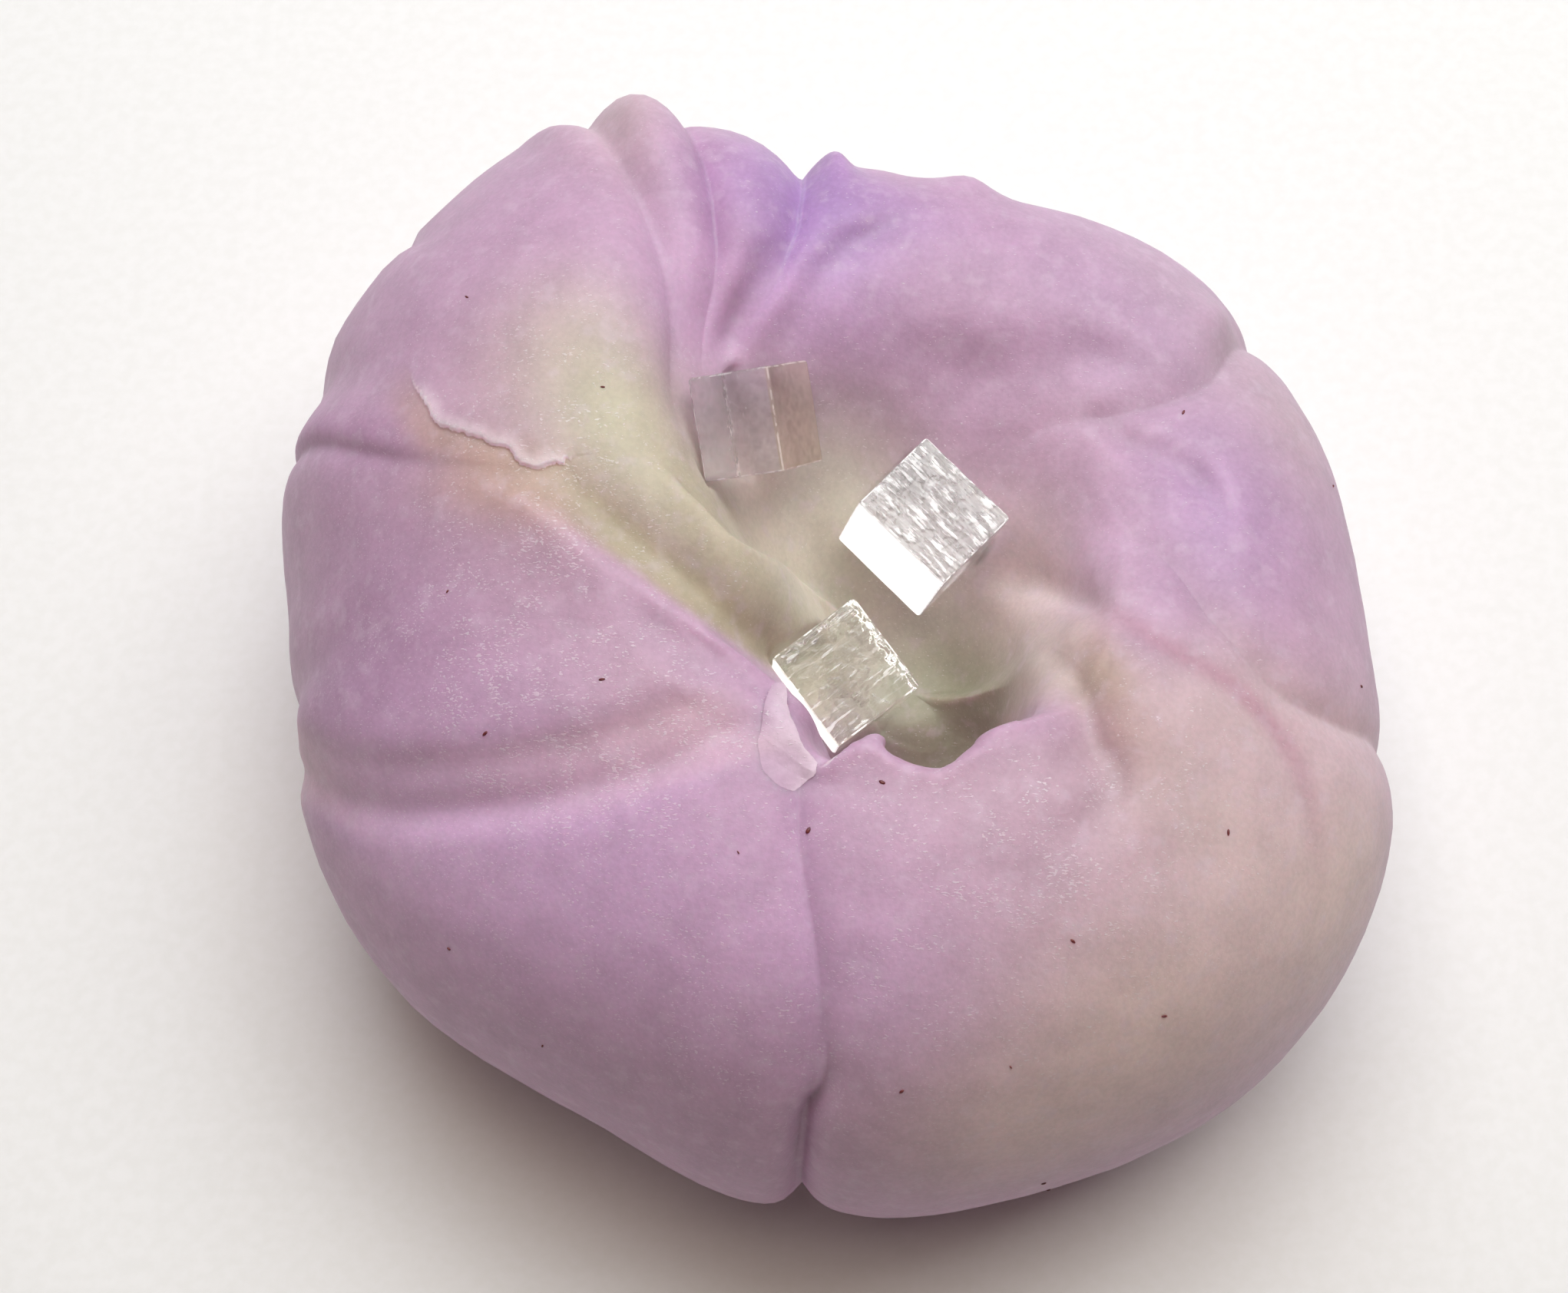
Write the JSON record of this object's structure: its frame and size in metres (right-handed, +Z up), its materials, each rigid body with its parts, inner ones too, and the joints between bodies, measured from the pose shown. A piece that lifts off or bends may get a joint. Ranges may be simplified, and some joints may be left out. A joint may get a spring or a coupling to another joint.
{
  "type": "nerikiri",
  "caption": "Bun of tinted bean paste shaped like a rolled flower, with a deep throat between its petals that holds small clear jelly cubes.",
  "frame": {"origin": "middle of the sweet's outline on the surface that it stands on", "axes": "+Z up, -Y towards the front seam, where the camera stood, +X to the right as seen from there"},
  "size_m": [0.0479, 0.048, 0.0262],
  "materials": {
    "bean_paste": "moist matt bean paste, tinted mauve, pink and cream",
    "clear_jelly": "clear firm jelly with knife marks"
  },
  "bodies": {
    "root": {"dough_body": "bean_paste", "jelly_cube_back": "clear_jelly", "jelly_cube_right": "clear_jelly", "jelly_cube_front": "clear_jelly"}
  },
  "joints": []
}
